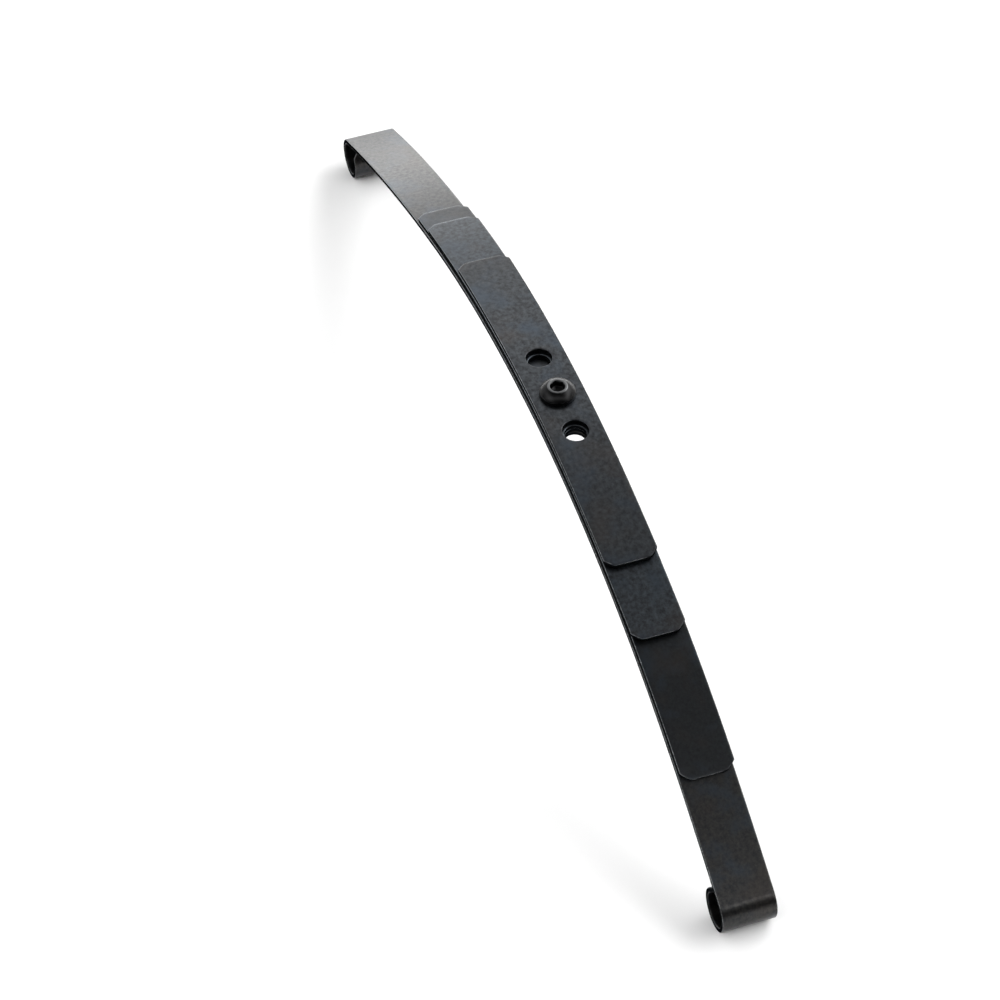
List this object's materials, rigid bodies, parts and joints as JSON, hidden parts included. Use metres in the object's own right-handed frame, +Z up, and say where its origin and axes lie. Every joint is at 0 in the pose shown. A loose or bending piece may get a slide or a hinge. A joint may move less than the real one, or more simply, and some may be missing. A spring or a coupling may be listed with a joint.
{
  "type": "leaf spring",
  "caption": "Arched stack of flat steel leaves of graded length, the longest rolled into an eye at each end, bundled by a button head screw and lock nut.",
  "frame": {"origin": "on the ground under the middle of the overall length, level with the lowest lines of both eyes", "axes": "+X along the spring to the front eye (the one nearer the screw), +Y across the leaves, +Z up, through the convex side of the arch"},
  "size_m": [0.1768, 0.0086, 0.0343],
  "materials": {
    "spring_steel": "blackened rolled spring steel, semi-gloss, finely grained",
    "black_oxide_steel": "black oxide, satin",
    "plated_steel": "bright zinc plate",
    "nylon": "dark nylon, satin"
  },
  "bodies": {
    "main_leaf": {"main_leaf": "spring_steel"},
    "centre_pack": {"second_leaf": "spring_steel", "third_leaf": "spring_steel", "fourth_leaf": "spring_steel", "centre_screw": "black_oxide_steel", "lock_nut": "plated_steel", "nut_nylon_ring": "nylon"}
  },
  "joints": [
    {"name": "spring_deflection", "type": "slide", "parent": "main_leaf", "child": "centre_pack", "axis": [0, 0, 1], "range_m": [-0.015, 0.003], "stiffness_N_per_m": 1600, "deforming": ["main_leaf", "second_leaf", "third_leaf", "fourth_leaf"]}
  ]
}
